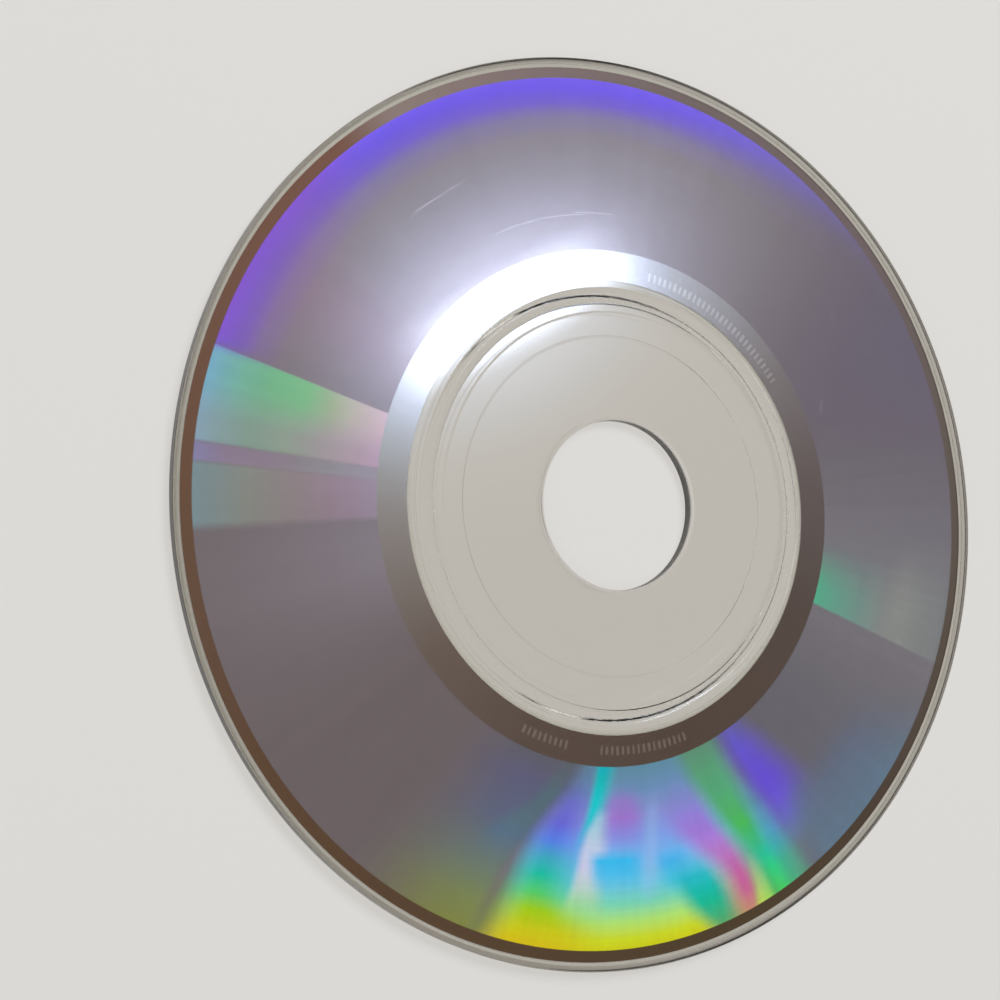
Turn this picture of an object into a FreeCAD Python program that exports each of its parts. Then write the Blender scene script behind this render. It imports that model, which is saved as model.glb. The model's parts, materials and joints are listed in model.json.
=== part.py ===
import FreeCAD, Part
import Sketcher
import os

# Small optical disc, 80 mm across, lying with its data side up.
# Millimetres, +Z towards the data side, origin on the axis in the plane that the disc lies on.

doc = FreeCAD.newDocument("optical_disc")

# Driving dimensions, each with the name that the features use.
sheet = doc.addObject("Spreadsheet::Sheet", "Sizes")

driving_sizes = {
    "disc_diameter": 80.0,
    "hole_diameter": 15.0,
    "plate_thickness": 1.2,
    "clamping_area_diameter": 34.1,
    "mould_mark_inset": 2.0,        # from the edge of the clamping area to the mark's middle
    "mould_mark_width": 0.24,
    "mould_mark_depth": 0.05,
    "hub_groove_width": 1.05,       # data side, between the clamping area and the stacking ring
    "hub_groove_depth": 0.08,
    "hub_groove_slope": 0.12,       # how far each wall of the groove leans
    "stacking_ring_width": 1.2,
    "stacking_ring_height": 0.2,
    "stacking_ring_root": 0.1,      # how deep the ring's section reaches into the plate
    "stamper_groove_inset": 0.5,    # label side, from the edge of the raised hub inwards
    "stamper_groove_width": 0.9,
    "stamper_groove_depth": 0.15,
    "stamper_groove_slope": 0.1,    # how far each wall of this groove leans
    "metal_gap": 0.8,               # clear plastic between the raised hub and the metal
    "metal_rim_margin": 0.75,       # clear plastic between the metal and the rim
    "metal_thickness": 0.02,
    "lacquer_overlap": 0.4,         # how far the lacquer runs past both edges of the metal
    "lacquer_cover": 0.03,          # lacquer under the metal
    "lacquer_floor_gap": 0.02,      # the raised hub keeps the lacquer off a table by this
    "hole_chamfer_data": 0.3,
    "hole_chamfer_label": 0.1,
    "rim_radius": 0.15,             # data side
    "rim_chamfer": 0.12,            # label side
}

# Sizes and places that follow from them. Radii are from the axis, heights from the table.
derived_sizes = {
    "rim_wall": "=disc_diameter / 2",
    "hole_wall": "=hole_diameter / 2",
    "clamping_edge": "=clamping_area_diameter / 2",
    "groove_floor_start": "=clamping_edge + hub_groove_slope",
    "ring_start": "=clamping_edge + hub_groove_width",
    "groove_floor_end": "=ring_start - hub_groove_slope",
    "ring_end": "=ring_start + stacking_ring_width",
    "ring_arc": "=(stacking_ring_width ^ 2 / 4 + stacking_ring_height ^ 2) / (2 * stacking_ring_height)",
    "ring_root_height": "=plate_thickness - stacking_ring_root",
    "groove_floor_height": "=plate_thickness - hub_groove_depth",
    "mark_middle": "=clamping_edge - mould_mark_inset",
    "mark_start": "=mark_middle - mould_mark_width / 2",
    "mark_end": "=mark_middle + mould_mark_width / 2",
    "stamper_end": "=ring_end - stamper_groove_inset",
    "stamper_start": "=stamper_end - stamper_groove_width",
    "stamper_roof_start": "=stamper_start + stamper_groove_slope",
    "stamper_roof_end": "=stamper_end - stamper_groove_slope",
    "metal_start": "=ring_end + metal_gap",
    "metal_end": "=rim_wall - metal_rim_margin",
    "lacquer_start": "=metal_start - lacquer_overlap",
    "lacquer_end": "=metal_end + lacquer_overlap",
    "lacquer_bottom": "=lacquer_floor_gap",
    "metal_bottom": "=lacquer_bottom + lacquer_cover",
    "information_plane": "=metal_bottom + metal_thickness",
}

row = 1
for name, value in driving_sizes.items():
    sheet.set("A%d" % row, name)
    sheet.set("B%d" % row, str(value))
    sheet.setAlias("B%d" % row, name)
    row += 1
for name, formula in derived_sizes.items():
    sheet.set("A%d" % row, name)
    sheet.set("B%d" % row, formula)
    sheet.setAlias("B%d" % row, name)
    row += 1
doc.recompute()


def size(name):
    """The number in the cell that has this name."""
    return float(sheet.get(name))


def new_body(name):
    """An empty body whose label is the name of the piece."""
    body = doc.addObject("PartDesign::Body", name)
    body.Label = name
    return body


def section_sketch(body, name):
    """A sketch in the plane through the axis: across is the radius, up is the height."""
    sketch = body.newObject("Sketcher::SketchObject", name)
    planes = [item for item in body.Origin.OriginFeatures if item.Role == "XZ_Plane"]
    sketch.AttachmentSupport = (planes[0], [""])
    sketch.MapMode = "FlatFace"
    return sketch


def bind(sketch, constraint, name):
    """Adds a dimension that always has the value of the named cell."""
    index = sketch.addConstraint(constraint)
    sketch.setExpression("Constraints[%d]" % index, "Sizes." + name)


def place(sketch, edge, end, radius, height):
    """Fixes one end of an edge at a named radius and a named height, or on the table."""
    bind(sketch, Sketcher.Constraint("DistanceX", -1, 1, edge, end, size(radius)), radius)
    if height == "table":
        sketch.addConstraint(Sketcher.Constraint("PointOnObject", edge, end, -1))
    else:
        bind(sketch, Sketcher.Constraint("DistanceY", -1, 1, edge, end, size(height)), height)


def point(radius, height):
    """Where a corner starts out in the sketch."""
    return FreeCAD.Vector(size(radius), 0 if height == "table" else size(height), 0)


def draw_outline(sketch, corners, arcs={}):
    """A closed outline through named corners.

    Edges are straight, apart from those in arcs: edge number to how far the arc rises
    over its chord and the name of its radius.
    """
    last = len(corners) - 1
    for edge, corner in enumerate(corners):
        begin = point(*corner)
        finish = point(*corners[0 if edge == last else edge + 1])
        if edge in arcs:
            rise, arc_radius = arcs[edge]
            crown = (begin + finish) / 2 + FreeCAD.Vector(0, size(rise), 0)
            sketch.addGeometry(Part.Arc(begin, crown, finish), False)
            bind(sketch, Sketcher.Constraint("Radius", edge, size(arc_radius)), arc_radius)
        else:
            sketch.addGeometry(Part.LineSegment(begin, finish), False)
    for edge, corner in enumerate(corners):
        before = last if edge == 0 else edge - 1
        here = end_at(sketch, edge, corner)
        sketch.addConstraint(Sketcher.Constraint("Coincident", edge, here, before, end_at(sketch, before, corner)))
        place(sketch, edge, here, *corner)


def end_at(sketch, edge, corner):
    """Which end of an edge, 1 or 2, lies at a corner: an arc always runs anticlockwise."""
    ends = [(sketch.getPoint(edge, end) - point(*corner)).Length for end in (1, 2)]
    return 1 if ends[0] < ends[1] else 2


def turn(body, kind, name, sketch):
    """Turns a section once round the axis, as added or as removed material."""
    feature = body.newObject("PartDesign::" + kind, name)
    feature.Profile = sketch
    feature.ReferenceAxis = (sketch, ["V_Axis"])
    feature.Angle = 360.0
    sketch.Visibility = False
    doc.recompute()
    return feature


def circle_edges(shape, radius, height):
    """The names of the full circles round the axis at this radius and height."""
    found = []
    for index, edge in enumerate(shape.Edges):
        curve = edge.Curve
        if isinstance(curve, Part.Circle) and abs(curve.Radius - radius) < 1e-6:
            if abs(curve.Center.z - height) < 1e-6:
                found.append("Edge%d" % (index + 1))
    return found


def break_edge(body, kind, name, radius, height, amount):
    """A chamfer or a fillet on the circle at this named radius and height."""
    base = body.Tip
    corner = point(radius, height)
    feature = body.newObject("PartDesign::" + kind, name)
    feature.Base = (base, circle_edges(base.Shape, corner.x, corner.y))
    feature.setExpression("Size" if kind == "Chamfer" else "Radius", "Sizes." + amount)
    base.Visibility = False
    doc.recompute()


# Clear disc: one moulding of polycarbonate, seen from its data side.
clear_disc = new_body("clear_disc")

plate_section = section_sketch(clear_disc, "plate_section")
draw_outline(plate_section, [
    ("hole_wall", "table"),
    ("rim_wall", "table"),
    ("rim_wall", "plate_thickness"),
    ("hole_wall", "plate_thickness"),
])
turn(clear_disc, "Revolution", "plate", plate_section)

# Stacking ring: a low rounded bead on the data side that keeps stacked discs apart.
ring_section = section_sketch(clear_disc, "stacking_ring_section")
draw_outline(ring_section, [
    ("ring_start", "ring_root_height"),
    ("ring_end", "ring_root_height"),
    ("ring_end", "plate_thickness"),
    ("ring_start", "plate_thickness"),
], arcs={2: ("stacking_ring_height", "ring_arc")})
turn(clear_disc, "Revolution", "stacking_ring", ring_section)

# Hub groove: flat-bottomed, between the clamping area and the stacking ring.
groove_section = section_sketch(clear_disc, "hub_groove_section")
draw_outline(groove_section, [
    ("clamping_edge", "plate_thickness"),
    ("groove_floor_start", "groove_floor_height"),
    ("groove_floor_end", "groove_floor_height"),
    ("ring_start", "plate_thickness"),
])
turn(clear_disc, "Groove", "hub_groove", groove_section)

# Information area: the label side steps up behind the raised hub to make room for the metal.
step_section = section_sketch(clear_disc, "information_step_section")
draw_outline(step_section, [
    ("ring_end", "table"),
    ("rim_wall", "table"),
    ("rim_wall", "information_plane"),
    ("ring_end", "information_plane"),
])
turn(clear_disc, "Groove", "information_step", step_section)

# Stamper groove: the round channel that the stamper's clamp leaves on the label side.
stamper_section = section_sketch(clear_disc, "stamper_groove_section")
draw_outline(stamper_section, [
    ("stamper_start", "table"),
    ("stamper_end", "table"),
    ("stamper_roof_end", "stamper_groove_depth"),
    ("stamper_roof_start", "stamper_groove_depth"),
])
turn(clear_disc, "Groove", "stamper_groove", stamper_section)

# Mould mark: the fine circle where the mould's core meets its plate.
mark_section = section_sketch(clear_disc, "mould_mark_section")
draw_outline(mark_section, [
    ("mark_start", "table"),
    ("mark_end", "table"),
    ("mark_middle", "mould_mark_depth"),
])
turn(clear_disc, "Groove", "mould_mark", mark_section)

# Edges: a lead-in on both sides of the centre hole, and a rim rounded above and broken below.
break_edge(clear_disc, "Chamfer", "hole_lead_in_data", "hole_wall", "plate_thickness", "hole_chamfer_data")
break_edge(clear_disc, "Chamfer", "hole_lead_in_label", "hole_wall", "table", "hole_chamfer_label")
break_edge(clear_disc, "Fillet", "rim_round_data", "rim_wall", "plate_thickness", "rim_radius")
break_edge(clear_disc, "Chamfer", "rim_break_label", "rim_wall", "information_plane", "rim_chamfer")


# Reflective layer: the thin aluminium film on the label side, under the data and mirror bands.
reflective_layer = new_body("reflective_layer")
metal_section = section_sketch(reflective_layer, "metal_section")
draw_outline(metal_section, [
    ("metal_start", "metal_bottom"),
    ("metal_end", "metal_bottom"),
    ("metal_end", "information_plane"),
    ("metal_start", "information_plane"),
])
turn(reflective_layer, "Revolution", "film", metal_section)


# Protective lacquer: covers the metal from below and seals it to the plastic past both its edges.
protective_lacquer = new_body("protective_lacquer")
lacquer_section = section_sketch(protective_lacquer, "lacquer_section")
draw_outline(lacquer_section, [
    ("lacquer_start", "lacquer_bottom"),
    ("lacquer_end", "lacquer_bottom"),
    ("lacquer_end", "information_plane"),
    ("metal_end", "information_plane"),
    ("metal_end", "metal_bottom"),
    ("metal_start", "metal_bottom"),
    ("metal_start", "information_plane"),
    ("lacquer_start", "information_plane"),
])
turn(protective_lacquer, "Revolution", "coat", lacquer_section)


# Everything is checked before any file is written.
pieces = [clear_disc, reflective_layer, protective_lacquer]
doc.recompute()
for item in doc.Objects:
    if "Invalid" in item.State or "Error" in item.State:
        raise RuntimeError("%s did not build" % item.Label)
for feature in clear_disc.Group:
    if feature.isDerivedFrom("PartDesign::Feature") and feature.BaseFeature is not None:
        before = feature.BaseFeature.Shape.Volume
        adds = feature.isDerivedFrom("PartDesign::Revolution")
        changed = feature.Shape.Volume - before
        if changed == 0 or (changed > 0) != adds:
            raise RuntimeError("%s changed nothing, or the wrong way" % feature.Label)
for piece in pieces:
    if piece.Shape.isNull() or not piece.Shape.isValid() or len(piece.Shape.Solids) != 1:
        raise RuntimeError("%s is not one sound solid" % piece.Label)

os.makedirs("parts", exist_ok=True)
for piece in pieces:
    piece.Shape.exportStep("parts/%s.step" % piece.Label)
    print(piece.Label, "volume mm3 %.2f" % piece.Shape.Volume, "box", piece.Shape.BoundBox)
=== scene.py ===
import json
import math
import bmesh
import bpy
from mathutils import Matrix, Vector


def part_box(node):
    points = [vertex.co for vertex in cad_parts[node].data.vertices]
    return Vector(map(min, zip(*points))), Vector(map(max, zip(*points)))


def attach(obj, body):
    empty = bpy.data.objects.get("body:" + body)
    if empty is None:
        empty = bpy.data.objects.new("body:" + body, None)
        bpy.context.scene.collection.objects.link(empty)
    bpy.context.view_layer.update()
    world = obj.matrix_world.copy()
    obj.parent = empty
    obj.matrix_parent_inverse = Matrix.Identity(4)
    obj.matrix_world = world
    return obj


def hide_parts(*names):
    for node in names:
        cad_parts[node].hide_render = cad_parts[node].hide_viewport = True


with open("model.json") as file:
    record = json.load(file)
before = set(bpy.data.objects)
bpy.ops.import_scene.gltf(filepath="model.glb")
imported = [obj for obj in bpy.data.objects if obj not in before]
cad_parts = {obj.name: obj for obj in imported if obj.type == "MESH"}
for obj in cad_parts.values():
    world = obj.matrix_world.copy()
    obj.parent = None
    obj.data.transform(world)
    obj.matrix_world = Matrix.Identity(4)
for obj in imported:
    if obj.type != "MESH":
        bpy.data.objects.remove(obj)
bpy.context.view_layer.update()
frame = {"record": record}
mm = 0.001


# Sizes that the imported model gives, in millimetres

def mountNamed(name):
    return [mount for mount in frame["record"]["mounts"] if mount["name"] == name][0]


def lowAndHigh(node):
    low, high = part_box(node)
    return [value / mm for value in low], [value / mm for value in high]


plateHigh = lowAndHigh("clear_disc")[1]
metalLow, metalHigh = lowAndHigh("reflective_layer")
lacquerLow, lacquerHigh = lowAndHigh("protective_lacquer")
rimRadius = plateHigh[0]
holeRadius = mountNamed("centre_hole")["dims"]["r_mm"]
faceHeight = mountNamed("clamping_face_data_side")["pos_m"][2] / mm  # the data side's flat faces
print("frame: radius %.1f mm, hole %.1f mm, face at %.2f mm" % (rimRadius, holeRadius, faceHeight))


# Node trees: shader and geometry trees are built with the same few methods

def linearColour(code):  # "#rrggbb" as a picture editor shows it, to the values that shaders use
    channels = [int(code[start:start + 2], 16) / 255 for start in (1, 3, 5)]
    return tuple(c / 12.92 if c <= 0.04045 else ((c + 0.055) / 1.055) ** 2.4 for c in channels) + (1.0,)


class Wire:  # a node's output, with the operators that the trees use
    def __init__(self, tree, socket):
        self.tree = tree
        self.socket = socket

    def maths(self, operation, *others):
        return self.tree.node("ShaderNodeMath", {"operation": operation}, dict(enumerate((self,) + others)))

    def __add__(self, other):
        return self.maths("ADD", other)

    def __sub__(self, other):
        return self.maths("SUBTRACT", other)

    def __rsub__(self, other):
        return self * -1 + other

    def __mul__(self, other):
        return self.maths("MULTIPLY", other)

    def __truediv__(self, other):
        return self.maths("DIVIDE", other)

    def __pow__(self, other):
        return self.maths("POWER", other)

    __radd__ = __add__
    __rmul__ = __mul__

    def bell(self, centre, width, steepness=2):  # 1 at the centre, falling smoothly away on both sides
        offset = ((self - centre) / width).maths("ABSOLUTE")
        return (offset ** steepness * -1).maths("EXPONENT")

    # Start below low, finish above high, smooth between them
    def rise(self, low, high, start=0.0, finish=1.0):
        return self.tree.node(
            "ShaderNodeMapRange", {"interpolation_type": "SMOOTHSTEP"},
            {"Value": self, "From Min": low, "From Max": high, "To Min": start, "To Max": finish})

    def fall(self, low, high):  # 1 below low, 0 above high
        return self.rise(low, high, 1.0, 0.0)

    def between(self, low, high, lowEdge, highEdge):  # 1 inside, with an edge this wide at each end
        return (self.rise(low - lowEdge / 2, low + lowEdge / 2)
                * self.fall(high - highEdge / 2, high + highEdge / 2))


class Tree:  # any node tree
    def __init__(self, tree):
        self.tree = tree

    def node(self, kind, settings={}, sockets={}, output=0):
        made = self.tree.nodes.new(kind)
        for key, value in settings.items():
            if key == "stops":
                self.setStops(made.color_ramp, value)
            else:
                setattr(made, key, value)
        for key, value in sockets.items():
            if isinstance(value, Wire):
                self.tree.links.new(value.socket, made.inputs[key])
            else:
                made.inputs[key].default_value = value
        return Wire(self, made.outputs[output]) if len(made.outputs) else None

    # A stop is a place from 0 to 1 and four values, as a rule a colour and its cover
    def setStops(self, ramp, stops):
        while len(ramp.elements) < len(stops):
            ramp.elements.new(1.0)
        for element, (place, values) in zip(ramp.elements, stops):
            element.position = place
            element.color = values


class Shader(Tree):  # a material's tree
    def __init__(self, name):
        self.material = bpy.data.materials.new(name)
        self.material.use_nodes = True
        super().__init__(self.material.node_tree)
        self.tree.nodes.clear()

    def mix(self, first, second, factor):  # by number, because the node has several sockets of one name
        return self.node("ShaderNodeMix", {"data_type": "RGBA"}, {0: factor, 6: first, 7: second}, 2)

    def scaled(self, colour, factor):
        return self.node("ShaderNodeVectorMath", {"operation": "SCALE"}, {0: colour, "Scale": factor})

    def position(self):  # millimetres from the disc's axis and from the table
        place = self.node("ShaderNodeTexCoord", output="Object")
        split = self.node("ShaderNodeSeparateXYZ", {}, {0: place}).socket.node
        return [Wire(self, split.outputs[axis]) * (1 / mm) for axis in range(3)]

    def noise(self, vector, scale, detail):
        return self.node("ShaderNodeTexNoise", {}, {"Vector": vector, "Scale": scale, "Detail": detail})

    def vector(self, x, y, z):
        return self.node("ShaderNodeCombineXYZ", {}, {0: x, 1: y, 2: z})

    def finish(self, surface):
        self.node("ShaderNodeOutputMaterial", {}, {"Surface": surface})
        return self.material


def radiusOf(x, y):
    return (x * x + y * y) ** 0.5


def bearingOf(x, y, seam):  # degrees from +X, from the seam round to the seam
    turn = math.radians(seam + 180)
    across = x * math.cos(turn) + y * math.sin(turn)
    up = y * math.cos(turn) - x * math.sin(turn)
    return up.maths("ARCTAN2", across) * math.degrees(1) + (seam + 180)


# Turned pieces: a profile in radius and height, taken once round the axis

turning = {
    "steps": 360,         # round the axis
    "pathRadius": 20.0,   # mm, where the profile is carried; it changes nothing in the shape
    "sharpFrom": 40.0,    # degrees, an edge sharper than this stays crisp
    "flatFrom": 165.0,    # degrees, a corner of the profile flatter than this isn't rounded
    "cutShare": 0.4,      # the most that a rounded corner takes of the run beside it
    "cornerSteps": 3,
    "beadSteps": 14,
    "longRun": 4,         # a run longer than this many times its support gets supporting points
    "mergeWithin": 1e-4,  # mm
}


def turningTree():
    tree = bpy.data.node_groups.new("turnedProfile", "GeometryNodeTree")
    face = tree.interface
    face.new_socket("Profile", in_out="INPUT", socket_type="NodeSocketGeometry")
    face.new_socket("Path radius", in_out="INPUT", socket_type="NodeSocketFloat")
    face.new_socket("Steps", in_out="INPUT", socket_type="NodeSocketInt")
    face.new_socket("Finish", in_out="INPUT", socket_type="NodeSocketMaterial")
    face.new_socket("Solid", in_out="OUTPUT", socket_type="NodeSocketGeometry")
    build = Tree(tree)
    given = build.node("NodeGroupInput").socket.node
    profile, pathRadius, steps, finish = [Wire(build, socket) for socket in given.outputs[:4]]
    outline = build.node("GeometryNodeMeshToCurve", {}, {0: profile})
    path = build.node("GeometryNodeCurvePrimitiveCircle", {}, {"Resolution": steps, "Radius": pathRadius})
    solid = build.node("GeometryNodeCurveToMesh", {}, {"Curve": path, "Profile Curve": outline})
    real = build.node("GeometryNodeRealizeInstances", {}, {0: solid})
    dressed = build.node("GeometryNodeSetMaterial", {}, {"Geometry": real, "Material": finish})
    build.node("NodeGroupOutput", {}, {0: dressed})
    return tree


def setInputs(modifier, values):  # by each input's identifier
    for item in modifier.node_group.interface.items_tree:
        if item.item_type == "SOCKET" and item.in_out == "INPUT" and item.name in values:
            modifier[item.identifier] = values[item.name]


def plainMesh(carrier, name):  # the modifier's result as a mesh object of its own, and the carrier goes
    bpy.context.view_layer.update()
    solved = carrier.evaluated_get(bpy.context.evaluated_depsgraph_get())
    mesh = bpy.data.meshes.new_from_object(solved)
    mesh.name = name
    bpy.data.objects.remove(carrier)
    piece = bpy.data.objects.new(name, mesh)
    bpy.context.collection.objects.link(piece)
    return piece


def turned(name, profile, material, tree):
    wire = bpy.data.meshes.new(name + "Profile")
    # The path carries the profile with its Y axis pointing down
    corners = [((radius - turning["pathRadius"]) * mm, -height * mm, 0) for radius, height in profile]
    edges = [(index, (index + 1) % len(corners)) for index in range(len(corners))]
    wire.from_pydata(corners, edges, [])
    carrier = bpy.data.objects.new(name + "Carrier", wire)
    bpy.context.collection.objects.link(carrier)
    modifier = carrier.modifiers.new("turn", "NODES")
    modifier.node_group = tree
    setInputs(modifier, {
        "Path radius": turning["pathRadius"] * mm, "Steps": turning["steps"], "Finish": material})
    piece = plainMesh(carrier, name)
    piece.data.materials.clear()
    piece.data.materials.append(material)
    closeMesh(piece.data)
    piece.data.shade_smooth()
    piece.data.set_sharp_from_angle(angle=math.radians(turning["sharpFrom"]))
    print("turned", name, len(piece.data.polygons), "faces")
    return piece


def closeMesh(mesh):
    shape = bmesh.new()
    shape.from_mesh(mesh)
    bmesh.ops.remove_doubles(shape, verts=shape.verts, dist=turning["mergeWithin"] * mm)
    bmesh.ops.recalc_face_normals(shape, faces=shape.faces)
    if shape.calc_volume(signed=True) < 0:
        bmesh.ops.reverse_faces(shape, faces=shape.faces)
    shape.to_mesh(mesh)
    shape.free()


def softened(profile, radius):  # each corner cut back by up to radius and rounded
    rounded = []
    count = len(profile)
    steps = turning["cornerSteps"]
    for index, corner in enumerate(profile):
        here = Vector(corner)
        before = Vector(profile[index - 1]) - here
        after = Vector(profile[(index + 1) % count]) - here
        if before.angle(after) > math.radians(turning["flatFrom"]):
            rounded.append(tuple(here))
            continue
        cut = min(radius, turning["cutShare"] * before.length, turning["cutShare"] * after.length)
        start = here + before.normalized() * cut
        finish = here + after.normalized() * cut
        for step in range(steps + 1):
            along = step / steps
            point = start * (1 - along) ** 2 + here * 2 * along * (1 - along) + finish * along ** 2
            rounded.append(tuple(point))
    return rounded


def supported(profile, support):  # a point near both ends of each long run, so that flat faces shade flat
    points = []
    for index, corner in enumerate(profile):
        here = Vector(corner)
        run = Vector(profile[(index + 1) % len(profile)]) - here
        points.append(tuple(here))
        if run.length > turning["longRun"] * support:
            points.append(tuple(here + run.normalized() * support))
            points.append(tuple(here + run - run.normalized() * support))
    return points


def bead(start, finish, height, rise):  # points of an arc over a flat chord, ends left out
    steps = turning["beadSteps"]
    half = (finish - start) / 2
    arcRadius = (half * half + rise * rise) / (2 * rise)
    centre = height + rise - arcRadius
    points = []
    for step in range(1, steps):
        offset = -half + 2 * half * step / steps
        points.append((start + half + offset, centre + math.sqrt(arcRadius ** 2 - offset ** 2)))
    return points


turnedTree = turningTree()


# Clear plate: polycarbonate. Sizes are in mm, and insets are measured inwards.

plate = {
    "clampingEdge": 17.05,    # radius
    "grooveWidth": 1.05,
    "grooveDepth": 0.08,
    "grooveSlope": 0.12,
    "beadWidth": 1.2,
    "stamperInset": 0.5,      # from the bead's outer edge, on the label side
    "stamperWidth": 0.9,
    "stamperDepth": 0.15,
    "stamperSlope": 0.1,
    "markInset": 2.0,         # the fine circle, from the clamping edge
    "markWidth": 0.24,
    "markDepth": 0.05,
    "leadInData": 0.3,
    "leadInLabel": 0.1,
    "rimRound": 0.15,
    "rimBreak": 0.12,
    "rimSteps": 8,            # along the rounding
    "cornerRound": 0.03,      # how far a moulded corner is from sharp
    "support": 0.02,          # from a corner to the ring that keeps the flat beside it flat
    # partly painted shade: the warm grey darkens what is seen through the plate, besides the plastic's own
    # tint
    "tint": "#edeae4",
    "shadowTint": "#e3e1dd",  # what each face lets through of a lamp's light
    "edgeTint": "#b2ada4",    # painted shade: the rim darkened as though a shadow lay under it
    "edgeInset": 0.6,
    "refraction": 1.58,
    "wallRoughness": 0.4,     # the cut wall of the hole
    "rimRoughness": 0.2,
    "rimWall": (0.12, 0.04),  # insets between which the rim's wall comes in
    "holeWall": (0.04, 0.2),  # outwards from the hole, between which its wall ends
    "gritWidth": 0.16,        # the grainy circle at the foot of the bead
    "gritRoughness": 0.5,
    "gritScale": 9.0,
    "gritDetail": 3.0,
    "gritFrom": 0.45,         # where in the noise a grain starts
    "gritTo": 0.62,           # and where it is full
}
beadStart = plate["clampingEdge"] + plate["grooveWidth"]
beadEnd = beadStart + plate["beadWidth"]
informationPlane = metalHigh[2]  # the plate's label side, where the metal lies


def plateProfile():
    p = plate
    mark = p["clampingEdge"] - p["markInset"]
    stamperEnd = beadEnd - p["stamperInset"]
    stamperStart = stamperEnd - p["stamperWidth"]
    labelSide = [
        (holeRadius + p["leadInLabel"], 0),
        (mark - p["markWidth"] / 2, 0),
        (mark, p["markDepth"]),
        (mark + p["markWidth"] / 2, 0),
        (stamperStart, 0),
        (stamperStart + p["stamperSlope"], p["stamperDepth"]),
        (stamperEnd - p["stamperSlope"], p["stamperDepth"]),
        (stamperEnd, 0),
        (beadEnd, 0),
        (beadEnd, informationPlane),
        (rimRadius - p["rimBreak"], informationPlane),
        (rimRadius, informationPlane + p["rimBreak"]),
    ]
    rim = []
    for step in range(p["rimSteps"] + 1):
        turn = math.pi / 2 * step / p["rimSteps"]
        rim.append((rimRadius - p["rimRound"] * (1 - math.cos(turn)),
                    faceHeight - p["rimRound"] * (1 - math.sin(turn))))
    dataSide = [(beadEnd, faceHeight)]
    dataSide += reversed(bead(beadStart, beadEnd, faceHeight, plateHigh[2] - faceHeight))
    dataSide += [
        (beadStart, faceHeight),
        (beadStart - p["grooveSlope"], faceHeight - p["grooveDepth"]),
        (p["clampingEdge"] + p["grooveSlope"], faceHeight - p["grooveDepth"]),
        (p["clampingEdge"], faceHeight),
        (holeRadius + p["leadInData"], faceHeight),
        (holeRadius, faceHeight - p["leadInData"]),
        (holeRadius, p["leadInLabel"]),
    ]
    return supported(softened(labelSide + rim + dataSide, p["cornerRound"]), p["support"])


def lampsThrough(shader, surface, code):  # in a lamp's shadow the piece only tints the light
    path = shader.node("ShaderNodeLightPath").socket.node
    tinted = shader.node("ShaderNodeBsdfTransparent", {}, {"Color": linearColour(code)})
    inShadow = Wire(shader, path.outputs["Is Shadow Ray"])
    return shader.node("ShaderNodeMixShader", {}, {0: inShadow, 1: surface, 2: tinted})


def clearPlastic():
    shader = Shader("clearPlastic")
    x, y, height = shader.position()
    radius = radiusOf(x, y)
    grains = shader.noise(shader.vector(x, y, height), plate["gritScale"], plate["gritDetail"])
    grit = radius.bell(beadStart, plate["gritWidth"]) * grains.rise(plate["gritFrom"], plate["gritTo"])
    inRim = radius.rise(*[rimRadius - inset for inset in plate["rimWall"]])
    inHole = radius.fall(*[holeRadius + outset for outset in plate["holeWall"]])
    # painted shade towards the rim
    nearRim = radius.rise(rimRadius - plate["edgeInset"], rimRadius - plate["edgeInset"] / 2)
    roughness = (grit * plate["gritRoughness"] + inHole * plate["wallRoughness"]
                 + inRim * plate["rimRoughness"])
    plastic = shader.node("ShaderNodeBsdfPrincipled", {}, {
        "Base Color": shader.mix(linearColour(plate["tint"]), linearColour(plate["edgeTint"]), nearRim),
        "Roughness": roughness,
        "IOR": plate["refraction"],
        "Transmission Weight": 1.0,
    })
    return shader.finish(lampsThrough(shader, plastic, plate["shadowTint"]))


plateBody = turned("clearPlate", plateProfile(), clearPlastic(), turnedTree)
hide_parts("clear_disc")
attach(plateBody, "root")
plateBody.visible_diffuse = False  # the sky's light reaches the table through it


# Reflective film: aluminium under the data band and the two mirror bands

film = {
    "beadGap": 0.8,       # mm from the plate's bead to its inner edge
    "sink": 0.01,         # mm that it stands into the plate, so that no two faces share a plane
    "dataInner": 22.8,    # mm, where the data band starts
    "dataOuter": 38.3,
    "bandEdge": 0.06,     # mm, how soft those two edges are
    "seam": -150.0,       # degrees, a quiet bearing
    "dataRoughness": 0.12,
    "mirrorRoughness": 0.08,
    # painted reflection: the data band's dark grey is the room that it mirrors
    "base": "#696165",
    "underside": "#a6a6a8",
    "undersideEdge": 0.01,  # mm up from its underside, where that colour starts to end
    "scratch": "#d0ced2",
    "scratchCover": 0.22,
    "brightest": 0.82,    # how bright a white film looks through the plate under this sky
    "veil": 0.013,        # what the plate's own gloss adds to it
}

# Painted reflection in the two mirror bands round the disc, darker and lighter where they mirror darker and
# lighter parts of the room: bearing from the seam on, and the colour to be seen
innerMirrorPaintedReflection = [
    (-150, "#655a54"), (-120, "#584c46"), (-75, "#52463f"), (-30, "#544a46"), (5, "#61595a"), (30, "#757073"),
    (50, "#8a8990"), (62, "#929297"), (80, "#9c9ca2"), (140, "#9c9ca2"), (152, "#959598"), (165, "#8b8b8c"),
    (180, "#807b7a"), (210, "#655a54")]
outerMirrorPaintedReflection = [
    (-150, "#5b4637"), (-75, "#4c4030"), (-50, "#4c4139"), (0, "#5f5752"), (35, "#6c6163"), (70, "#6c6162"),
    (95, "#7a6d6e"), (118, "#867875"), (126, "#73544a"), (170, "#674f41"), (190, "#624d40"), (210, "#5b4637")]
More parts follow.
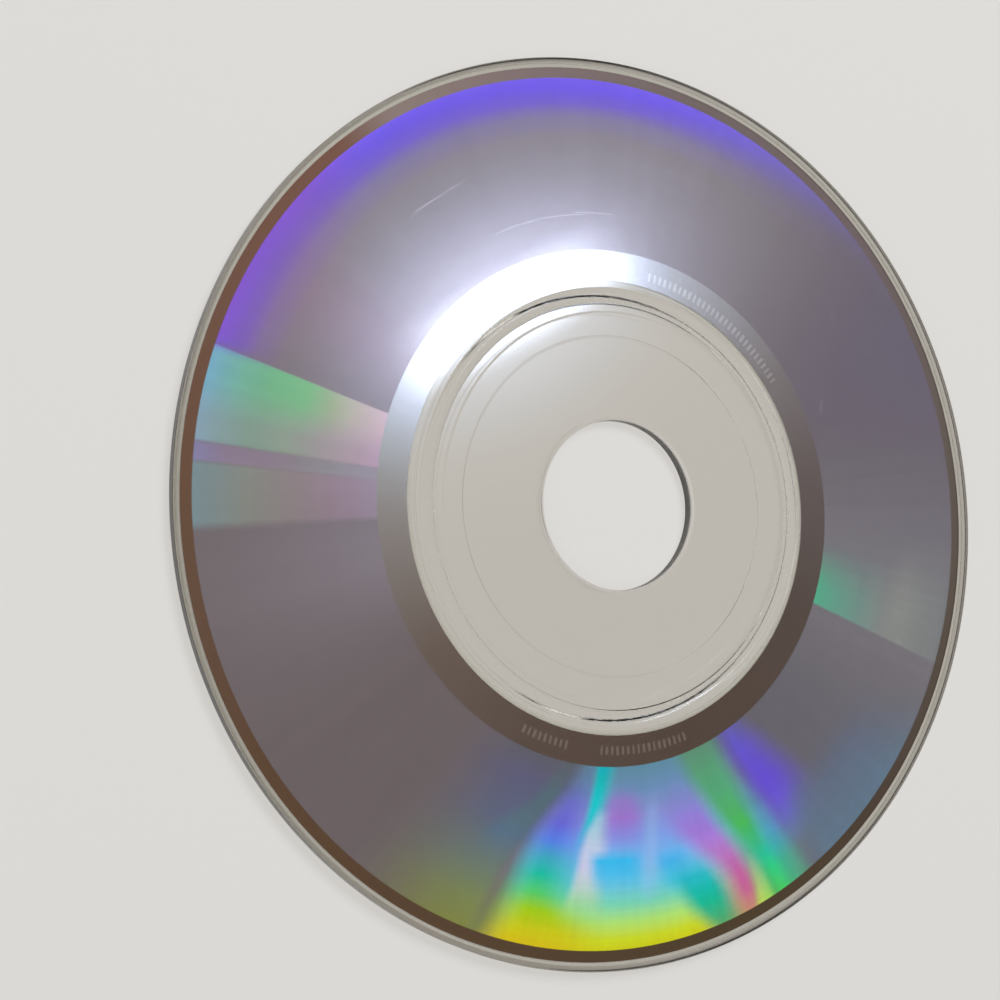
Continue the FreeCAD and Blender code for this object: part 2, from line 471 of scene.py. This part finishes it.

# Painted reflection: wide, soft changes of the grey where the data band mirrors lighter or darker parts of
# the room: bearing and half width in degrees, colour, and cover at the inner and at the outer edge of the
# data band
paintedReflectionTints = [
    {"bearing": 95, "width": 62, "steepness": 4, "colour": "#7f7a81", "inner": 0.7, "outer": 0.8},
    {"bearing": -50, "width": 22, "steepness": 2, "colour": "#62636f", "inner": 0.7, "outer": 0.8},
    {"bearing": -16, "width": 24, "steepness": 2, "colour": "#787780", "inner": 0.85, "outer": 0.9},
    {"bearing": 20, "width": 22, "steepness": 2, "colour": "#686374", "inner": 0.5, "outer": 1.0},
    {"bearing": 145, "width": 8, "steepness": 2, "colour": "#85697a", "inner": 0.1, "outer": 0.5},
    {"bearing": 187, "width": 13, "steepness": 2, "colour": "#7d767f", "inner": 0.9, "outer": 0.35},
]

# Painted light: the rainbow colours that the pits spread from the lamps, painted on in place; each streak
# runs outwards. A row is a radius in mm, the bearings that it lies between, the colour to be seen and its
# cover. Where "between" gives the bearings, they are the same all the way. "edges" are the widths in degrees
# over which its two sides fade.
paintedDiffractionStreaks = [
    # Dim olive beside the fan, and a teal and a mauve line in it
    {"edges": (18, 6), "rows": [
        (22.8, -126, -104, "#5c5d6a", 0.9), (25, -126, -105.5, "#5d5d7a", 1),
        (29, -126, -110, "#5c6580", 1), (33, -127, -113, "#687870", 1), (36, -128, -114, "#778254", 1),
        (38.3, -128, -115, "#7c8247", 1)]},
    {"edges": (4, 4), "rows": [
        (22.8, -109.8, -106.2, "#59656c", 0.5), (25.5, -112.8, -109, "#546a76", 1),
        (27, -115, -111, "#546a78", 1), (28.5, -117.5, -113, "#57707e", 1),
        (30, -120.5, -114, "#566f88", 0.9), (32.5, -122, -115, "#627880", 0)]},
    {"edges": (2, 2), "rows": [
        (29.5, -114.3, -112.6, "#6c6c80", 0), (31, -115.2, -113.5, "#6f6c7e", 0.8),
        (33, -116.4, -114.8, "#746e76", 0.9), (36, -117.6, -116.2, "#737462", 0.7),
        (38.3, -118.2, -117, "#70785a", 0.4)]},
    # The fan's own run of colours, from its inner end to the rim
    {"edges": (6, 9), "rows": [
        (22.8, -104.5, -72, "#5c8ca4", 0.9), (25, -106.2, -70, "#6a8cb8", 1), (27, -109, -70, "#848ed0", 1),
        (29, -111, -68, "#7c9be4", 1), (31, -112.3, -70, "#6eb2ee", 1), (33, -113, -72, "#69c0dc", 1),
        (34.5, -113.4, -73, "#76ceb4", 1), (36, -113.8, -74, "#a8da74", 1),
        (37.4, -114.2, -74.6, "#c2d22c", 1), (38.3, -114.5, -75, "#c8ca10", 1)]},
    # Its near side, which runs ahead of it
    {"edges": (6, 9), "rows": [
        (22.8, -104.5, -102, "#5a6e96", 0.4), (24, -105.8, -102.5, "#5c6ca0", 0.6),
        (26, -108, -103.5, "#6462c6", 0.9), (28, -110.3, -104.5, "#6462d4", 1),
        (29.5, -111.6, -105, "#557de4", 1), (31, -112.3, -105, "#3ea6c0", 1),
        (32.4, -112.8, -105.5, "#06baa2", 1), (34, -113.2, -105.5, "#56c668", 1),
        (35.3, -113.5, -104, "#98c620", 1), (37, -114, -101.5, "#c2c200", 1),
        (38.3, -114.8, -103, "#ccb800", 1)]},
    # Cyan, and the pale streak that it runs into
    {"edges": (2, 4), "rows": [
        (22.8, -101.2, -97.3, "#14a8b8", 1), (24, -101.6, -98, "#02b2b8", 1),
        (26, -102.3, -99.2, "#00c2ca", 1), (27.5, -102.9, -100.4, "#14c0d0", 0.95),
        (29.2, -104.2, -102.5, "#3cb8dc", 0.6), (30.4, -104.5, -103, "#3cb8dc", 0)]},
    {"edges": (2, 3.6), "rows": [
        (26.2, -100.4, -97.4, "#82c8d8", 0), (27.2, -101, -97.6, "#98c8dc", 0.8),
        (28.5, -102.4, -98.2, "#a8c8dc", 1), (30, -103.2, -98.8, "#bcc6e6", 1),
        (31.5, -103.5, -99.6, "#c4c6e4", 1), (33, -104, -99.8, "#bacdcc", 0.9),
        (34.3, -104.8, -99.4, "#b0d49b", 0.6), (35.8, -105.4, -99, "#b8dc60", 0)]},
    # Purple patch, the blues outside it and a teal one
    {"edges": (4, 5), "rows": [
        (24.2, -97, -93, "#7882be", 0), (25.7, -98, -91.8, "#9176c6", 0.8),
        (27.2, -98.7, -91.5, "#9874cc", 1), (28.5, -99.2, -91.8, "#8c7dd8", 0.7),
        (29.7, -99.5, -92, "#8c7dd8", 0)]},
    {"edges": (3, 5), "rows": [
        (29.8, -101.2, -93, "#38b6f6", 0), (30.8, -101, -92.4, "#38b6f6", 1),
        (32, -100.8, -92, "#40b9f0", 0.8), (33.4, -100.5, -92, "#50bee0", 0)]},
    {"edges": (2.4, 2.4), "rows": [
        (25, -89.8, -87.2, "#8296c8", 0), (27, -90.2, -87.6, "#88a0da", 0.7),
        (30, -91.2, -88.6, "#88b0ec", 0.9), (33, -92, -89.6, "#84c0e8", 0.7),
        (35, -92.2, -90, "#8ccdd2", 0)]},
    {"edges": (3, 5), "rows": [
        (30.2, -88.8, -84, "#3cacea", 0), (31.5, -88.4, -83.6, "#3cace8", 0.85),
        (33.2, -88, -83, "#3cbcda", 0.7), (34.4, -88, -83, "#3cbcda", 0)]},
    {"edges": (4, 3.5), "rows": [
        (31.6, -86.5, -81, "#3caadc", 0), (33.4, -86, -79.5, "#14b4c6", 0.9),
        (34.7, -85.2, -78, "#06b6ae", 1), (36, -84.2, -77, "#10b494", 1),
        (37.4, -82.6, -76.5, "#40ac7c", 1), (38.3, -81.6, -76, "#5ca66c", 1)]},
    # Violet turning to magenta, and the lime line beside it
    {"edges": (5.6, 5), "rows": [
        (24.2, -85, -79, "#6e87be", 0), (26.5, -86, -78.5, "#7d82c8", 0.6),
        (28, -85.4, -77.4, "#8e7ed6", 0.95), (29.5, -84, -76.4, "#9878d4", 1),
        (30.5, -82.4, -75.2, "#a07ad6", 1), (31.5, -81, -74.2, "#aa7ace", 1),
        (32.5, -79.4, -73.4, "#b074c0", 1), (33.5, -78.2, -72.9, "#b66cb2", 1),
        (35, -77.3, -72.5, "#be60a0", 1), (36.5, -77, -72.7, "#c05e96", 1),
        (38.3, -76.8, -73.2, "#c48478", 1)]},
    {"edges": (1.6, 1.6), "rows": [
        (33.4, -72.8, -71.4, "#b8ac90", 0), (35, -73, -71.2, "#b8aa90", 0.8),
        (36.5, -73.1, -71, "#b6b880", 1), (38.3, -73.8, -70.8, "#b8d45c", 1)]},
    # Green, its blue side and the violet beyond it
    {"edges": (5.4, 6), "rows": [
        (22.8, -80.5, -70.6, "#5c8c70", 0.9), (25, -79.3, -70, "#579a76", 1),
        (27, -77.6, -69, "#54a27a", 1), (29, -76, -68.6, "#50aa6c", 1), (31, -74.4, -67.6, "#4ab25a", 1),
        (33, -73.1, -67, "#40b482", 1), (34.5, -72.3, -66.4, "#2cbe98", 1),
        (36, -71.7, -65.8, "#30ca80", 1), (38.3, -71.2, -65.4, "#4acc60", 1)]},
    {"edges": (3.6, 4), "rows": [
        (26.6, -71, -67, "#588c96", 0), (29, -70, -66, "#559696", 0.5), (31, -69.2, -65.4, "#5aa0b8", 0.9),
        (33, -68.8, -65, "#48acc2", 1), (34.5, -68.6, -64.8, "#38b2b4", 1),
        (36, -68.5, -64.8, "#3cb298", 0.8), (38.3, -68.2, -64.6, "#46ae88", 0.8)]},
    {"edges": (6, 9), "rows": [
        (22.8, -68.6, -63.6, "#625ebe", 0.9), (25, -68, -61.2, "#6456ca", 1),
        (27, -67.2, -60, "#6552ce", 1), (29, -66.7, -58.8, "#654fd0", 1), (31, -66.1, -58, "#6858ce", 1),
        (33, -66.2, -58.6, "#676abe", 0.95), (34.5, -66.2, -59, "#657aa8", 0.8),
        (36, -66.2, -60, "#697c90", 0.6), (38.3, -66, -60, "#6c7488", 0.5)]},
    {"edges": (5, 16), "rows": [
        (30, -61, -42, "#60687e", 0), (33, -61, -42, "#5f6f8a", 0.7), (38.3, -62, -38, "#60788f", 0.9)]},
    # Flat sectors with a straight edge
    {"between": (157, 168.8), "edges": (0.5, 0.8), "rows": [
        (22.8, "#988393", 1), (25, "#94838c", 1), (28, "#8b8485", 1), (31, "#828e82", 1),
        (34, "#7a8f85", 1), (36.5, "#7f9599", 1), (38.3, "#829aac", 1)]},
    {"edges": (0.5, 7), "rows": [
        (22.8, 157, 163.5, "#a08b90", 0.9), (25.5, 157, 163, "#968e85", 0.9),
        (27.5, 157, 163, "#869078", 1), (30, 157, 163, "#6c9e74", 1), (33, 157, 163, "#6aa07c", 1),
        (35.5, 157, 163.5, "#6ea292", 1), (38.3, 157, 163.5, "#74a3bc", 1)]},
    {"between": (168.8, 171.2), "edges": (0.8, 0.8), "rows": [
        (22.8, "#8b8490", 0.8), (28, "#838085", 0.8), (32, "#847785", 0.9), (35.5, "#84768a", 1),
        (38.3, "#807ca0", 1)]},
    {"between": (171.2, 179), "edges": (0.8, 1.6), "rows": [
        (22.8, "#897c8c", 0.9), (26.5, "#877683", 0.9), (30, "#847a7d", 0.9), (34, "#7e827d", 0.95),
        (38.3, "#748890", 1)]},
    # Green edge on the far side
    {"edges": (0.7, 14), "rows": [
        (22.8, -27.2, -18, "#54a68a", 1), (25, -27.2, -18, "#609e8c", 0.9),
        (28, -27.2, -18.5, "#6e918a", 0.85), (31, -27.2, -17, "#848a8a", 0.75),
        (33, -27.2, -15, "#8c918e", 0.65), (38.3, -27.2, -15, "#7d8787", 0.4)]},
    # Violet arc inside the rim, and its redder end
    {"edges": (50, 3), "rows": [
        (33, 55, 156.5, "#7864be", 0), (34.8, 60, 156.5, "#7464b4", 0.3),
        (36.1, 60, 156.5, "#6c58c0", 0.85), (37.4, 56, 156.5, "#6a58d2", 1),
        (38.3, 52, 156.5, "#725edc", 1)]},
    {"edges": (16, 3), "rows": [
        (32, 132, 156.5, "#80688a", 0), (35, 132, 156.5, "#80658c", 0.4),
        (36.5, 130, 156.5, "#7c5c9c", 0.6), (38.3, 128, 156.5, "#7f56c0", 0.9)]},
]


def asSeen(code):  # the film's base colour that shows as this colour through the plate; the colours given are mostly painted reflection and diffraction
    return tuple(min(max((channel - film["veil"]) / film["brightest"], 0.0), 1.0)
                 for channel in linearColour(code)[:3]) + (1.0,)


# Fine scratches, light against the film: mm and degrees; lean is mm outwards per degree

hairlines = [
    {"radius": 26.1, "from": 84.0, "to": 93.0, "width": 0.035, "lean": 0.01},
    {"radius": 26.0, "from": 90.0, "to": 112.0, "width": 0.025, "lean": -0.006},
    {"radius": 31.0, "from": 113.0, "to": 124.0, "width": 0.03, "lean": -0.02},
    {"radius": 30.8, "from": 117.0, "to": 123.0, "width": 0.025, "lean": 0.02},
    {"radius": 30.6, "from": 32.0, "to": 33.6, "width": 0.03, "lean": 0.5},
    {"radius": 24.6, "from": 17.0, "to": 20.0, "width": 0.04, "lean": 0.2},
]


def scratches(radius, bearing):
    total = 0.0
    for line in hairlines:
        middle = (bearing - line["from"]) * line["lean"] + line["radius"]
        length = bearing.between(line["from"], line["to"], 1, 1)
        total = (radius - middle).bell(0, line["width"]) * length + total
    return total


def alongBand(shader, place, rows, values):  # a ramp along the data band: values(row) are its four channels
    low, high = film["dataInner"], film["dataOuter"]
    stops = [((row[0] - low) / (high - low), values(row)) for row in rows]
    ramp = shader.node("ShaderNodeValToRGB", {"stops": stops}, {0: place}).socket.node
    return Wire(shader, ramp.outputs[0]), Wire(shader, ramp.outputs[1])


def onceRound(bearing):  # a bearing as a share of the way round from the seam
    return (bearing - film["seam"]) / 360


def aroundDisc(shader, bearing, tones):  # colour by bearing
    stops = [(onceRound(angle), asSeen(code)) for angle, code in tones]
    return shader.node("ShaderNodeValToRGB", {"stops": stops}, {0: onceRound(bearing)})


def streakOver(shader, colour, place, bearing, turn, streak):  # place is along the band, turn is once round
    rows = streak["rows"]
    shade, cover = alongBand(shader, place, rows, lambda row: asSeen(row[-2])[:3] + (row[-1],))
    if "between" in streak:
        mask = bearing.between(*streak["between"], *streak["edges"])
    else:
        sides = alongBand(shader, place, rows, lambda row: (onceRound(row[1]), onceRound(row[2]), 0, 1))[0]
        split = shader.node("ShaderNodeSeparateXYZ", {}, {0: sides}).socket.node
        near, far = [edge / 2 / 360 for edge in streak["edges"]]
        mask = ((turn - Wire(shader, split.outputs[0])).rise(-near, near)
                * (turn - Wire(shader, split.outputs[1])).fall(-far, far))
    return shader.mix(colour, shade, mask * cover)


# The data band's colour is painted light: painted reflection of the room and painted diffraction colours,
# with real scratches on top
def dataBandColour(shader, radius, bearing):
    place = (radius - film["dataInner"]) / (film["dataOuter"] - film["dataInner"])
    colour = asSeen(film["base"])
    for tint in paintedReflectionTints:
        cover = place * (tint["outer"] - tint["inner"]) + tint["inner"]
        mask = bearing.bell(tint["bearing"], tint["width"], tint["steepness"])
        colour = shader.mix(colour, asSeen(tint["colour"]), mask * cover)
    turn = onceRound(bearing)
    for streak in paintedDiffractionStreaks:
        colour = streakOver(shader, colour, place, bearing, turn, streak)
    return shader.mix(colour, asSeen(film["scratch"]), scratches(radius, bearing) * film["scratchCover"])


# Fine grain of the data band: threads run round the disc, and rays run outwards
grain = {
    "threads": 3.0,          # per mm
    "threadDrift": 0.02,     # per degree, how fast a thread changes along its length
    "threadStrength": 0.08,
    "rays": 0.8,             # per degree
    "rayDrift": 0.02,        # per mm
    "rayStrength": 0.12,
    "rayLayer": 3.0,         # the height in the noise at which the rays are taken
}


def bandGrain(shader, radius, bearing):  # what the data band's colour is multiplied by
    threads = shader.vector(radius * grain["threads"], bearing * grain["threadDrift"], 0.0)
    rays = shader.vector(bearing * grain["rays"], radius * grain["rayDrift"], grain["rayLayer"])
    return ((shader.noise(threads, 1.0, 1.0) - 0.5) * grain["threadStrength"]
            + (shader.noise(rays, 1.0, 1.0) - 0.5) * grain["rayStrength"] + 1.0)


def reflectiveMetal():
    shader = Shader("reflectiveMetal")
    x, y, height = shader.position()
    radius = radiusOf(x, y)
    bearing = bearingOf(x, y, film["seam"])
    inData = radius.between(film["dataInner"], film["dataOuter"], film["bandEdge"], film["bandEdge"])
    band = shader.scaled(dataBandColour(shader, radius, bearing), bandGrain(shader, radius, bearing))
    # painted reflection of the room in the two mirror bands, by bearing
    inner, outer = [aroundDisc(shader, bearing, tones) for tones in (innerMirrorPaintedReflection, outerMirrorPaintedReflection)]
    mirror = shader.mix(inner, outer, radius.rise(film["dataInner"], film["dataOuter"]))
    top = shader.mix(mirror, band, inData)
    facingPlate = height.rise(metalLow[2] + film["undersideEdge"], metalHigh[2])
    colour = shader.mix(linearColour(film["underside"]), top, facingPlate)
    standing = height.rise(filmTop, filmTop + ticks["tall"])
    colour = shader.mix(colour, linearColour(ticks["hazeTint"]), standing * ticks["haze"])
    colour = shader.scaled(colour, standing * ticks["lift"] + 1.0)
    roughness = inData * (film["dataRoughness"] - film["mirrorRoughness"]) + film["mirrorRoughness"]
    metal = shader.node("ShaderNodeBsdfPrincipled", {}, {
        "Base Color": colour,
        "Metallic": 1.0,
        "Roughness": roughness,
    })
    return shader.finish(metal)


# Short rows of fine marks in the inner mirror band: mm and degrees

ticks = {
    "long": 0.8,      # outwards
    "wide": 0.26,     # round the disc
    "tall": 0.004,
    "lift": 0.2,      # how much lighter than the band they stand in
    "hazeTint": "#ffffff",
    "haze": 0.05,     # and how much of that tint goes into them
    "least": (0.7, 0.85, 1.0),  # a mark's size as a share of wide, long and tall, at least
    "most": (1.2, 1.0, 1.0),
    "arcSteps": 64,   # in the arc that a row stands on
    "rows": [
        {"radius": 21.4, "from": -121.5, "to": -110.0, "count": 9, "seed": 3},
        {"radius": 21.4, "from": -100.5, "to": -77.5, "count": 17, "seed": 8},
        {"radius": 21.1, "from": 30.0, "to": 74.0, "count": 30, "seed": 5},
    ],
}
filmTop = metalHigh[2] + film["sink"]


def tickTree():
    tree = bpy.data.node_groups.new("tickRow", "GeometryNodeTree")
    face = tree.interface
    kinds = {"Radius": "Float", "Start": "Float", "Sweep": "Float", "Count": "Int", "Size": "Vector",
             "Height": "Float", "Seed": "Int", "Finish": "Material"}
    for name, kind in kinds.items():
        face.new_socket(name, in_out="INPUT", socket_type="NodeSocket" + kind)
    face.new_socket("Marks", in_out="OUTPUT", socket_type="NodeSocketGeometry")
    build = Tree(tree)
    given = build.node("NodeGroupInput").socket.node
    inputs = [Wire(build, socket) for socket in given.outputs[:len(kinds)]]
    radius, start, sweep, count, size, height, seed, finish = inputs
    arc = build.node("GeometryNodeCurveArc", {"mode": "RADIUS"}, {
        "Resolution": ticks["arcSteps"], "Radius": radius, "Start Angle": start, "Sweep Angle": sweep})
    places = build.node("GeometryNodeCurveToPoints", {"mode": "COUNT"}, {
        "Curve": arc, "Count": count}).socket.node
    points, tangent = [Wire(build, places.outputs[number]) for number in (0, 1)]
    turn = build.node("FunctionNodeAlignRotationToVector", {"axis": "X"}, {"Vector": tangent})
    mark = build.node("GeometryNodeMeshCube", {}, {"Size": size})
    scale = build.node("FunctionNodeRandomValue", {"data_type": "FLOAT_VECTOR"}, {
        0: ticks["least"], 1: ticks["most"], "Seed": seed})
    row = build.node("GeometryNodeInstanceOnPoints", {}, {
        "Points": points, "Instance": mark, "Rotation": turn, "Scale": scale})
    real = build.node("GeometryNodeRealizeInstances", {}, {0: row})
    lifted = build.node("GeometryNodeSetPosition", {}, {
        "Geometry": real, "Offset": build.node("ShaderNodeCombineXYZ", {}, {"Z": height})})
    dressed = build.node("GeometryNodeSetMaterial", {}, {"Geometry": lifted, "Material": finish})
    build.node("NodeGroupOutput", {}, {0: dressed})
    return tree


def tickRow(number, row, tree, material):
    name = "fineMarks%d" % number
    carrier = bpy.data.objects.new(name + "Carrier", bpy.data.meshes.new(name + "Start"))
    bpy.context.collection.objects.link(carrier)
    modifier = carrier.modifiers.new("marks", "NODES")
    modifier.node_group = tree
    setInputs(modifier, {
        "Radius": row["radius"] * mm,
        "Start": math.radians(row["from"]),
        "Sweep": math.radians(row["to"] - row["from"]),
        "Count": row["count"],
        "Size": [ticks[side] * mm for side in ("wide", "long", "tall")],
        "Height": filmTop * mm + ticks["tall"] * mm / 2,
        "Seed": row["seed"],
        "Finish": material,
    })
    piece = plainMesh(carrier, name)
    piece.data.materials.clear()
    piece.data.materials.append(material)
    closeMesh(piece.data)
    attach(piece, "root")
    print("marks", name, len(piece.data.polygons), "faces")


def ringProfile(inner, outer, low, high):
    return [(inner, low), (outer, low), (outer, high), (inner, high)]


metalInner = beadEnd + film["beadGap"]
filmBody = turned("reflectiveFilm",
                  ringProfile(metalInner, metalHigh[0], metalLow[2], filmTop),
                  reflectiveMetal(), turnedTree)
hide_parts("reflective_layer")
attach(filmBody, "root")
markTree = tickTree()
for number, row in enumerate(ticks["rows"]):
    tickRow(number + 1, row, markTree, filmBody.data.materials[0])


# Lacquer: a clear coat under the film, running past both its edges

coat = {
    "overlap": 0.4,   # mm past the film's edges
    "gap": 0.005,     # mm to the plate and to the film, so that no two faces share a plane
    "tint": "#f2f2ee",
    "refraction": 1.5,
    "roughness": 0.04,
}


def lacquerProfile():
    inner = metalInner - coat["overlap"]
    filmInner = metalInner - coat["gap"]
    filmOuter = metalHigh[0] + coat["gap"]
    top = lacquerHigh[2] - coat["gap"]
    shelf = metalLow[2] - coat["gap"]
    return [
        (inner, lacquerLow[2]),
        (lacquerHigh[0], lacquerLow[2]),
        (lacquerHigh[0], top),
        (filmOuter, top),
        (filmOuter, shelf),
        (filmInner, shelf),
        (filmInner, top),
        (inner, top),
    ]


def clearLacquer():
    shader = Shader("clearLacquer")
    lacquer = shader.node("ShaderNodeBsdfPrincipled", {}, {
        "Base Color": linearColour(coat["tint"]),
        "Roughness": coat["roughness"],
        "IOR": coat["refraction"],
        "Transmission Weight": 1.0,
    })
    return shader.finish(lacquer)


coatBody = turned("lacquerCoat", lacquerProfile(), clearLacquer(), turnedTree)
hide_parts("protective_lacquer")
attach(coatBody, "root")
coatBody.visible_shadow = False
coatBody.visible_diffuse = False


# Table and light

studio = {
    "tableDrop": 0.05,        # mm under the disc, so that no two faces share a plane
    "tableRadius": 3000.0,    # mm
    "tableSides": 96,
    "table": "#dedcd9",
    "tableRoughness": 0.9,
    "tableGloss": 0.2,
    "sky": "#e9e9e9",         # as the camera sees it
    "skyLight": 0.62,         # its strength as it lights the table
    "mirroredSky": 1.37,      # as the metal sees it through the plate
    "glossSky": 0.3,          # as the plate's own gloss shows it
    "glow": "#dbe8ff",        # a bright patch in it, which metal and clear plastic mirror
    "glowPlace": (67.4, 23.7, 123.8),  # the way to the patch's middle
    "glowAlong": (0.906, 0.423, 0.0),  # its long side
    "glowFacing": 0.3,        # it fades towards the sky's other half, from this far in
}

# The bright patch is three laid over one another: half length, half width and shift of the middle along the
# long side, all in radians, and strength
glows = [
    {"long": 0.061, "wide": 0.021, "shift": -0.003, "power": 10.2, "edge": 4},
    {"long": 0.078, "wide": 0.050, "shift": -0.012, "power": 3.2, "edge": 2},
    {"long": 0.13, "wide": 0.10, "shift": 0.0, "power": 0.25, "edge": 2},
]


def tableTop():
    shader = Shader("paleTable")
    paper = shader.node("ShaderNodeBsdfPrincipled", {}, {
        "Base Color": linearColour(studio["table"]),
        "Roughness": studio["tableRoughness"],
        "Specular IOR Level": studio["tableGloss"],
    })
    mesh = bpy.data.meshes.new("table")
    shape = bmesh.new()
    bmesh.ops.create_circle(
        shape, cap_ends=True, segments=studio["tableSides"], radius=studio["tableRadius"] * mm,
        matrix=Matrix.Translation((0, 0, -studio["tableDrop"] * mm)))
    shape.to_mesh(mesh)
    shape.free()
    mesh.materials.append(shader.finish(paper))
    table = bpy.data.objects.new("table", mesh)
    bpy.context.collection.objects.link(table)


def along(axes, direction):  # how far a direction leans along a fixed one
    return axes[0] * direction[0] + axes[1] * direction[1] + axes[2] * direction[2]


def sky():
    world = bpy.data.worlds.new("studioSky")
    world.use_nodes = True
    world.cycles.sampling_method = "NONE"
    build = Tree(world.node_tree)
    build.tree.nodes.clear()
    direction = build.node("ShaderNodeTexCoord", output="Generated")
    split = build.node("ShaderNodeSeparateXYZ", {}, {0: direction}).socket.node
    axes = [Wire(build, split.outputs[axis]) for axis in range(3)]
    middle = Vector(studio["glowPlace"]).normalized()
    lengthwise = Vector(studio["glowAlong"])
    lengthwise = (lengthwise - middle * lengthwise.dot(middle)).normalized()
    sideways = middle.cross(lengthwise)
    facing = along(axes, middle).rise(0.0, studio["glowFacing"])
    path = build.node("ShaderNodeLightPath").socket.node
    camera, glossy, through, depth = [Wire(build, path.outputs[name]) for name in (
        "Is Camera Ray", "Is Glossy Ray", "Is Transmission Ray", "Transmission Depth")]
    inside = depth.maths("GREATER_THAN", 0.5)  # the ray went through the plastic
    mirrored = inside * (studio["mirroredSky"] - studio["glossSky"]) + studio["glossSky"]
    shine = 0.0
    for glow in glows:
        patch = (along(axes, lengthwise).bell(glow["shift"], glow["long"], glow["edge"])
                 * along(axes, sideways).bell(0, glow["wide"], glow["edge"]))
        shine = patch * glow["power"] + shine
    shine = shine * facing
    mirrored = mirrored + shine
    onward = glossy.maths("MAXIMUM", through)
    strength = (onward * (mirrored - studio["skyLight"])
                + camera * (1 - studio["skyLight"]) + studio["skyLight"])
    colour = build.node("ShaderNodeMix", {"data_type": "RGBA"}, {
        0: shine * onward, 6: linearColour(studio["sky"]), 7: linearColour(studio["glow"])}, 2)
    light = build.node("ShaderNodeBackground", {}, {"Color": colour, "Strength": strength})
    build.node("ShaderNodeOutputWorld", {}, {"Surface": light})
    bpy.context.scene.world = world


# Soft lamps for the table and its shadows: place and aim in mm, size in mm, strength in watts
lamps = [
    {"name": "keyPanel", "place": (300, 500, 800), "aim": (0, 0, 0), "size": (500, 500), "watts": 4.5},
    {"name": "fillPanel", "place": (-600, -400, 700), "aim": (0, 0, 0), "size": (800, 800), "watts": 2.4},
]


def hangLamps():
    for lamp in lamps:
        data = bpy.data.lights.new(lamp["name"], "AREA")
        data.shape = "RECTANGLE"
        data.size, data.size_y = [side * mm for side in lamp["size"]]
        data.energy = lamp["watts"]
        hung = bpy.data.objects.new(lamp["name"], data)
        bpy.context.collection.objects.link(hung)
        away = Vector(lamp["place"]) - Vector(lamp["aim"])
        hung.matrix_world = (Matrix.Translation(Vector(lamp["place"]) * mm)
                             @ away.to_track_quat("Z", "Y").to_matrix().to_4x4())
        hung.visible_glossy = False  # the metal mirrors the sky alone, through the plate too
        hung.visible_transmission = False


tableTop()
sky()
hangLamps()
print("table, sky and", len(lamps), "lamps")


# Camera: from the left, looking down on the disc

view = {
    "place": (-75.653, -6.01, 125.008),  # mm
    "aim": (-11.756, 1.122, 1.2),        # mm, the middle of the picture
    "up": (0.0608, 0.9942, 0.0886),
    "lens": 59.44,                       # mm, on a picture this wide
    "picture": 36.0,
    "nearest": 10.0,                     # mm, what the camera sees
    "farthest": 20000.0,
}


def setCamera():
    data = bpy.data.cameras.new("camera")
    data.lens = view["lens"]
    data.sensor_width = view["picture"]
    data.clip_start = view["nearest"] * mm
    data.clip_end = view["farthest"] * mm
    camera = bpy.data.objects.new("camera", data)
    bpy.context.collection.objects.link(camera)
    back = (Vector(view["place"]) - Vector(view["aim"])).normalized()
    right = Vector(view["up"]).cross(back).normalized()
    up = back.cross(right)
    turn = Matrix((right, up, back)).transposed().to_4x4()
    camera.matrix_world = Matrix.Translation(Vector(view["place"]) * mm) @ turn
    bpy.context.scene.camera = camera


setCamera()
bpy.context.scene.view_settings.view_transform = "Standard"

print("scene ready")
